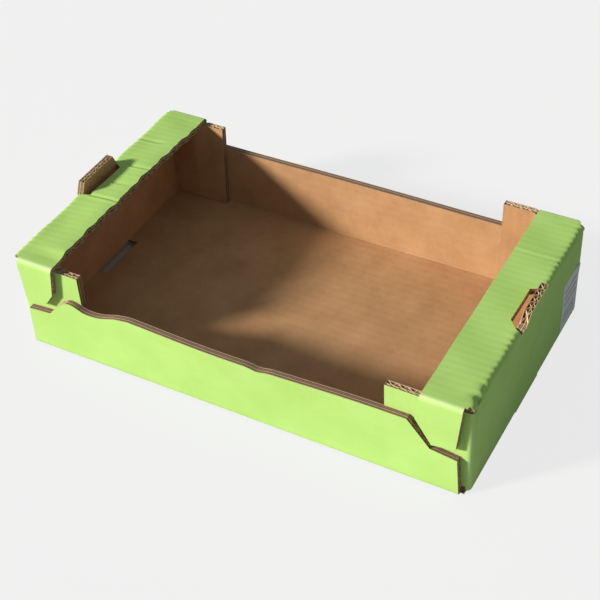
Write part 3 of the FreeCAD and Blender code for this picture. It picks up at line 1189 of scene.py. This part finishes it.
def add_node(
    tree: bpy.types.NodeTree,
    kind: str,
    inputs: dict[str | int, object] | None = None,
    links: dict[str | int, bpy.types.NodeSocket] | None = None,
    **settings: object,
) -> bpy.types.Node:
    """Adds a node with its settings, values and links.

    Args:
        tree: The tree to add it to.
        kind: The node's type.
        inputs: Values for its sockets, by name or place.
        links: Sockets of other nodes to link to its own, by name or place.
        settings: The node's own properties.

    Returns:
        The node.
    """
    node = tree.nodes.new(kind)
    for name, value in settings.items():
        setattr(node, name, value)
    for key, value in (inputs or {}).items():
        node.inputs[key].default_value = value
    for key, socket in (links or {}).items():
        tree.links.new(socket, node.inputs[key])
    return node


def ramp(
    tree: bpy.types.NodeTree, factor: bpy.types.NodeSocket, stops: list[tuple[float, str]]
) -> bpy.types.NodeSocket:
    """Adds a colour ramp over a factor.

    Args:
        tree: The tree to add it to.
        factor: What the ramp reads.
        stops: Places and their hex colours.

    Returns:
        The ramp's colour.
    """
    node = add_node(tree, "ShaderNodeValToRGB", links={"Fac": factor})
    elements = node.color_ramp.elements
    while len(elements) < len(stops):
        elements.new(0.5)
    for element, (place, colour) in zip(elements, stops):
        element.position = place
        element.color = linear(colour)
    return node.outputs["Color"]


def mixed(
    tree: bpy.types.NodeTree,
    factor: bpy.types.NodeSocket | float,
    first: bpy.types.NodeSocket | str,
    second: bpy.types.NodeSocket | str,
) -> bpy.types.NodeSocket:
    """Mixes two colours, each a socket or a hex colour."""
    node = tree.nodes.new("ShaderNodeMix")
    node.data_type = "RGBA"
    for socket, value in ((node.inputs[0], factor), (node.inputs[6], first), (node.inputs[7], second)):
        if isinstance(value, bpy.types.NodeSocket):
            tree.links.new(value, socket)
        elif isinstance(value, str):
            socket.default_value = linear(value)
        else:
            socket.default_value = value
    return node.outputs[2]


def blank_place(tree: bpy.types.NodeTree, scale: tuple[float, float, float]) -> bpy.types.NodeSocket:
    """Reads the flat sheet's places, stretched by a scale.

    Args:
        tree: The tree to add the nodes to.
        scale: What u, v and w are multiplied by.

    Returns:
        The stretched place.
    """
    spot = add_node(tree, "ShaderNodeAttribute", attribute_name="blank", attribute_type="GEOMETRY")
    node = add_node(
        tree,
        "ShaderNodeVectorMath",
        inputs={1: scale},
        links={0: spot.outputs["Vector"]},
        operation="MULTIPLY",
    )
    return node.outputs["Vector"]


def calc(
    tree: bpy.types.NodeTree, operation: str, *terms: bpy.types.NodeSocket | float
) -> bpy.types.NodeSocket:
    """Adds a math node.

    Args:
        tree: The tree to add it to.
        operation: What it works out.
        terms: Its inputs in order, each a socket or a number.

    Returns:
        The result.
    """
    node = tree.nodes.new("ShaderNodeMath")
    node.operation = operation
    for socket, term in zip(node.inputs, terms):
        if isinstance(term, bpy.types.NodeSocket):
            tree.links.new(term, socket)
        else:
            socket.default_value = term
    return node.outputs[0]


def split(tree: bpy.types.NodeTree, place: bpy.types.NodeSocket) -> list[bpy.types.NodeSocket]:
    """Splits a place into its parts along X, Y and Z."""
    return list(add_node(tree, "ShaderNodeSeparateXYZ", links={0: place}).outputs)


def emboss(
    tree: bpy.types.NodeTree, shader: bpy.types.Node, height: bpy.types.NodeSocket, depth: float
) -> None:
    """Raises a shader's surface by a height of 0 to 1, as deep as given in metres."""
    bump = add_node(
        tree, "ShaderNodeBump", inputs={"Strength": 1.0, "Distance": depth}, links={"Height": height}
    )
    tree.links.new(bump.outputs[0], shader.inputs["Normal"])


def finish(shader: bpy.types.Node, roughness: float, ior: float | None = None) -> None:
    """Sets how matt a shader is and, where given, how strongly its surface mirrors."""
    shader.inputs["Roughness"].default_value = roughness
    if ior is not None:
        shader.inputs["IOR"].default_value = ior


def washboard(tree: bpy.types.NodeTree, pitch: float) -> bpy.types.NodeSocket:
    """Gives a wave across the flutes, 0 to 1, where the liner sinks between them.

    Args:
        tree: The tree to add the nodes to.
        pitch: The flute's pitch in metres.

    Returns:
        The wave.
    """
    across = split(tree, blank_place(tree, (0.0, 2.0 * math.pi / pitch, 0.0)))[1]
    return calc(tree, "MULTIPLY_ADD", calc(tree, "COSINE", across), 0.5, 0.5)


def speckle(
    tree: bpy.types.NodeTree, place: bpy.types.NodeSocket, scale: float, detail: float, rough: float
) -> bpy.types.NodeSocket:
    """Adds soft noise at a place.

    Args:
        tree: The tree to add it to.
        place: Where the noise is read.
        scale: Its scale.
        detail: Its levels of detail.
        rough: How strong the finer levels are.

    Returns:
        The noise, 0 to 1.
    """
    inputs = {"Scale": scale, "Detail": detail, "Roughness": rough}
    return add_node(tree, "ShaderNodeTexNoise", inputs=inputs, links={"Vector": place}).outputs["Fac"]


@dataclass(frozen=True)
class PrintedLiner:
    """Kraft liner printed light green by rubber plates, unvarnished.

    A thin even ink on rough brown paper: nearly matt, a little mottled, cracked pale
    along the folds with a painted fold highlight in the same pale band, and the flutes below show as faint
    ribs.
    """

    blank: Blank
    main: str = "ABD16E"
    deep: str = "A6CC68"
    pale: str = "B1D678"
    # Pale fold colour: cracked ink, and a painted highlight along the folds.
    worn: str = "DDEBB4"
    rib: float = 0.0065
    rib_depth: float = 0.00004

    def make(self) -> bpy.types.Material:
        """Makes the material."""
        material, tree, shader = new_material("printed_kraft_liner")
        cloud = speckle(tree, blank_place(tree, (1.0, 1.0, 1.0)), 22.0, 4.0, 0.6)
        fibre = speckle(tree, blank_place(tree, (500.0, 1400.0, 500.0)), 1.0, 2.0, 0.6)
        colour = ramp(tree, cloud, [(0.32, self.deep), (0.5, self.main), (0.72, self.pale)])
        ribs = washboard(tree, self.rib)
        colour = mixed(tree, calc(tree, "MULTIPLY", ribs, 0.10), colour, self.deep)
        colour = mixed(tree, calc(tree, "MULTIPLY", fibre, 0.16), colour, self.pale)
        # Paler along the tab and corner folds: worn ink, and painted highlight.
        colour = mixed(tree, self._worn_and_highlit_folds(tree, cloud), colour, self.worn)
        tree.links.new(colour, shader.inputs["Base Color"])
        emboss(tree, shader, calc(tree, "MULTIPLY_ADD", fibre, 0.3, ribs), self.rib_depth)
        finish(shader, 0.72, 1.35)
        return material

    def _worn_and_highlit_folds(self, tree: bpy.types.NodeTree, cloud: bpy.types.NodeSocket) -> bpy.types.NodeSocket:
        """Gives the pale band along the folds of the tabs and the corner flaps: ink cracked off there, and a
        painted fold highlight.

        Args:
            tree: The tree to add the nodes to.
            cloud: Noise that breaks the wear and the painted highlight up.

        Returns:
            The wear and painted highlight, 0 to 1.
        """
        b = self.blank
        place = blank_place(tree, (1.0, 1.0, 1.0))
        size = add_node(tree, "ShaderNodeVectorMath", links={0: place}, operation="ABSOLUTE")
        along, across, _ = split(tree, size.outputs["Vector"])
        shelf = calc(tree, "GREATER_THAN", along, b.u_top)
        tab = self._band(tree, across, b.v_fold + b.arc * 0.35, b.arc * 0.6)
        corner = self._band(tree, across, b.v_corner + b.arc * 0.45, b.arc * 0.5)
        links = {0: shelf, 2: calc(tree, "MULTIPLY", corner, 0.5), 3: tab}
        return calc(tree, "MULTIPLY", cloud, add_node(tree, "ShaderNodeMix", links=links).outputs[0])

    def _band(
        self, tree: bpy.types.NodeTree, place: bpy.types.NodeSocket, middle: float, half: float
    ) -> bpy.types.NodeSocket:
        """Gives 1 in the middle of a band, falling to 0 at its sides."""
        fall = add_node(
            tree,
            "ShaderNodeMapRange",
            inputs={"From Min": 0.0, "From Max": half, "To Min": 1.0, "To Max": 0.0},
            links={"Value": calc(tree, "ABSOLUTE", calc(tree, "SUBTRACT", place, middle))},
            interpolation_type="SMOOTHSTEP",
        )
        return fall.outputs[0]


@dataclass(frozen=True)
class KraftLiner:
    """Brown kraft liner, pressed and uncoated: matt, with fibres and dark specks."""

    main: str = "B88C60"
    deep: str = "AC8056"
    pale: str = "C1966B"
    speck: str = "7E5836"
    rib: float = 0.008
    rib_depth: float = 0.00007

    def make(self) -> bpy.types.Material:
        """Makes the material."""
        material, tree, shader = new_material("kraft_liner")
        cloud = speckle(tree, blank_place(tree, (1.0, 1.0, 1.0)), 30.0, 5.0, 0.65)
        fibre = speckle(tree, blank_place(tree, (700.0, 170.0, 700.0)), 1.0, 3.0, 0.7)
        colour = ramp(tree, cloud, [(0.3, self.deep), (0.52, self.main), (0.75, self.pale)])
        dark = ramp(tree, fibre, [(0.60, "000000"), (0.74, "FFFFFF")])
        colour = mixed(tree, calc(tree, "MULTIPLY", dark, 0.35), colour, self.speck)
        tree.links.new(colour, shader.inputs["Base Color"])
        ribs = washboard(tree, self.rib)
        emboss(tree, shader, calc(tree, "MULTIPLY_ADD", fibre, 0.35, ribs), self.rib_depth)
        finish(shader, 0.82, 1.45)
        return material


@dataclass(frozen=True)
class CutBoard:
    """Board cut by steel rule: pale liners with darker, torn fluting between them, and dark lines of painted
    shade for the hollows between the layers.
    """

    liner: str = "C2A582"
    # Painted shade: the dark colour of the hollows between liners and fluting.
    gap: str = "5A4433"
    fluting: str = "93755A"
    board: float = 0.006

    def make(self) -> bpy.types.Material:
        """Makes the material."""
        material, tree, shader = new_material("cut_board")
        inward = split(tree, blank_place(tree, (1.0, 1.0, 1.0 / self.board)))[2]
        ragged = speckle(tree, blank_place(tree, (260.0, 260.0, 900.0)), 1.0, 3.0, 0.7)
        depth = calc(tree, "ADD", inward, calc(tree, "MULTIPLY_ADD", ragged, 0.16, -0.08))
        liners = [(place, self.liner) for place in (0.0, 0.07, 0.38, 0.46, 0.93, 1.0)]
        hollow_shade_bands = [(place, self.gap) for place in (0.13, 0.33, 0.52, 0.86)]
        flutings = [(place, self.fluting) for place in (0.24, 0.68)]
        layers = ramp(tree, depth, sorted(liners + hollow_shade_bands + flutings))
        torn = speckle(tree, blank_place(tree, (900.0, 900.0, 2400.0)), 1.0, 2.0, 0.6)
        # Random torn spots are darkened toward the painted shade colour of the hollows.
        colour = mixed(tree, calc(tree, "MULTIPLY", torn, 0.3), layers, self.gap)
        tree.links.new(colour, shader.inputs["Base Color"])
        emboss(tree, shader, layers, 0.0003)
        finish(shader, 0.9)
        return material


@dataclass(frozen=True)
class Fluting:
    """Semichemical fluting paper, corrugated hot: brown, matt, paler where it is cut."""

    name: str = "fluting_paper"
    main: str = "DCC29C"
    deep: str = "B5966E"

    def make(self) -> bpy.types.Material:
        """Makes the material."""
        material, tree, shader = new_material(self.name)
        noise = speckle(tree, blank_place(tree, (600.0, 600.0, 600.0)), 1.0, 3.0, 0.65)
        colour = ramp(tree, noise, [(0.35, self.deep), (0.65, self.main)])
        tree.links.new(colour, shader.inputs["Base Color"])
        finish(shader, 0.88)
        return material


@dataclass(frozen=True)
class LabelPaper:
    """Uncoated white label paper with plain dark rules and a slight shade."""

    paper: str = "E4E6E0"
    shade: str = "D5D8D2"
    ink: str = "50565A"
    rules: tuple[tuple[float, float], ...] = (
        (0.80, 0.012),
        (0.66, 0.012),
        (0.52, 0.012),
        (0.30, 0.010),
        (0.20, 0.010),
    )
    margin: float = 0.12

    def make(self) -> bpy.types.Material:
        """Makes the material."""
        material, tree, shader = new_material("ruled_label_paper")
        low, high = (Vector(corner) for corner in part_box("end_label"))
        wide, tall = high.y - low.y, high.z - low.z
        place = add_node(tree, "ShaderNodeTexCoord").outputs["Object"]
        fitted = add_node(
            tree,
            "ShaderNodeMapping",
            inputs={"Location": (0.0, -low.y / wide, -low.z / tall), "Scale": (1.0, 1.0 / wide, 1.0 / tall)},
            links={"Vector": place},
        )
        _, across, up = split(tree, fitted.outputs[0])
        rules = [calc(tree, "COMPARE", up, middle, half) for middle, half in self.rules]
        ruled = reduce(lambda first, second: calc(tree, "MAXIMUM", first, second), rules)
        inked = calc(tree, "MULTIPLY", ruled, calc(tree, "COMPARE", across, 0.5, 0.5 - self.margin))
        paper = mixed(tree, speckle(tree, place, 900.0, 3.0, 0.6), self.paper, self.shade)
        tree.links.new(mixed(tree, inked, paper, self.ink), shader.inputs["Base Color"])
        finish(shader, 0.7)
        return material


@dataclass
class Studio:
    """A pale floor, soft daylight from the front left, and the photograph's viewpoint."""

    camera_place: tuple[float, float, float] = (0.42771, -0.72390, 0.76251)
    camera_turn: tuple[float, float, float] = (48.680, 2.654, 28.378)
    lens: float = 80.35
    sun_from: tuple[float, float, float] = (-0.64, -0.62, 0.39)
    sun_strength: float = 5.2
    sun_softness: float = 9.0
    sky_strength: float = 0.27
    floor_colour: str = "B8B8B6"
    floor_deep: str = "B4B4B2"
    floor_white: float = 0.78
    # Half size of the tray's footprint, where the floor stays darker as painted shade.
    painted_shade_half: tuple[float, float] = (0.196, 0.115)
    floor_size: float = 12.0

    def build(self) -> None:
        """Makes the floor, the light and the camera."""
        self._floor()
        self._sun()
        self._sky()
        self._camera()
        bpy.context.scene.view_settings.view_transform = "Standard"

    def _floor(self) -> None:
        """Lays the floor under the tray."""
        clear_selection()
        bpy.ops.mesh.primitive_plane_add(size=self.floor_size, location=(0.0, 0.0, -0.0002))
        floor = bpy.context.object
        floor.name = "floor"
        material, tree, shader = new_material("painted_floor")
        place = add_node(tree, "ShaderNodeTexCoord").outputs["Object"]
        cloud = speckle(tree, place, 3.0, 2.0, 0.5)
        tree.links.new(mixed(tree, cloud, self.floor_colour, self.floor_deep), shader.inputs["Base Color"])
        shader.inputs["Roughness"].default_value = 0.8
        self._whiten(tree, shader)
        floor.data.materials.append(material)

    def _whiten(self, tree: bpy.types.NodeTree, shader: bpy.types.Node) -> None:
        """Lets the floor look nearly white where it is seen, and keeps the shadow on it; under the tray the
        whitening is left out as painted shade.
        """
        ray = add_node(tree, "ShaderNodeLightPath")
        seen = ray.outputs["Is Camera Ray"]
        for name in ("Is Glossy Ray", "Is Transmission Ray"):
            seen = calc(tree, "MAXIMUM", seen, ray.outputs[name])
        seen = calc(tree, "MULTIPLY", seen, self._outside_painted_shade(tree))
        share = calc(tree, "MULTIPLY", seen, self.floor_white)
        inputs = {"Color": (1.0, 1.0, 1.0, 1.0), "Strength": 1.0}
        white = add_node(tree, "ShaderNodeEmission", inputs=inputs)
        links = {0: share, 1: shader.outputs[0], 2: white.outputs[0]}
        both = add_node(tree, "ShaderNodeMixShader", links=links)
        output = next(node for node in tree.nodes if node.type == "OUTPUT_MATERIAL")
        tree.links.new(both.outputs[0], output.inputs["Surface"])

    def _outside_painted_shade(self, tree: bpy.types.NodeTree) -> bpy.types.NodeSocket:
        """Gives 1 on the open floor and 0 under the tray, where the floor is left darker as painted shade."""
        along, across, _ = split(tree, add_node(tree, "ShaderNodeTexCoord").outputs["Object"])
        under = [
            calc(tree, "COMPARE", place, 0.0, half) for place, half in zip((along, across), self.painted_shade_half)
        ]
        return calc(tree, "SUBTRACT", 1.0, calc(tree, "MULTIPLY", *under))

    def _sun(self) -> None:
        """Hangs the key light."""
        lamp = bpy.data.lights.new("key", "SUN")
        lamp.energy = self.sun_strength
        lamp.angle = math.radians(self.sun_softness)
        lamp.color = (1.0, 0.965, 0.92)
        key = bpy.data.objects.new("key", lamp)
        key.rotation_euler = Vector(self.sun_from).to_track_quat("Z", "Y").to_euler()
        bpy.context.scene.collection.objects.link(key)

    def _sky(self) -> None:
        """Sets the even light all round."""
        world = bpy.data.worlds.new("sky")
        world.use_nodes = True
        background = next(node for node in world.node_tree.nodes if node.type == "BACKGROUND")
        background.inputs["Color"].default_value = (0.82, 0.93, 1.0, 1.0)
        background.inputs["Strength"].default_value = self.sky_strength
        bpy.context.scene.world = world

    def _camera(self) -> None:
        """Stands the camera where the photograph was taken from."""
        data = bpy.data.cameras.new("viewpoint")
        data.lens = self.lens
        data.sensor_width = 36.0
        data.dof.use_dof = False
        camera = bpy.data.objects.new("viewpoint", data)
        camera.location = self.camera_place
        camera.rotation_euler = Euler([math.radians(turn) for turn in self.camera_turn])
        bpy.context.scene.collection.objects.link(camera)
        bpy.context.scene.camera = camera


def main() -> None:
    """Builds the tray, its label and the studio, and reports each piece."""
    logging.basicConfig(level=logging.INFO, format="%(name)s: %(message)s")
    blank = Blank()
    right_tab = ((0.157, 0.067), (0.1705, 0.045), (0.1895, 0.0485))
    left_tab = ((0.1633, 0.062), (0.1725, 0.049), (0.191, 0.0475))
    ends = [
        EndCut(blank, End.RIGHT, 0.0695, right_tab),
        EndCut(blank, End.LEFT, 0.0605, left_tab, wall_end=0.192),
    ]
    finishes = [
        PrintedLiner(blank).make(),
        KraftLiner().make(),
        CutBoard(board=blank.board).make(),
        # The sunk channels behind the fluted cuts are dark brown: painted shade deep in the flute tunnels.
        Fluting("channel_painted_shade", main="5E4533", deep="453226").make(),
    ]
    sheet = FoldedSheet(blank, ends, Handling(blank), finishes)
    sheet.build()
    FluteEdges(sheet, Fluting().make()).build()
    EndLabel(blank, LabelPaper().make()).build()
    Studio().build()
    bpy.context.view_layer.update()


if __name__ == "__main__":
    main()
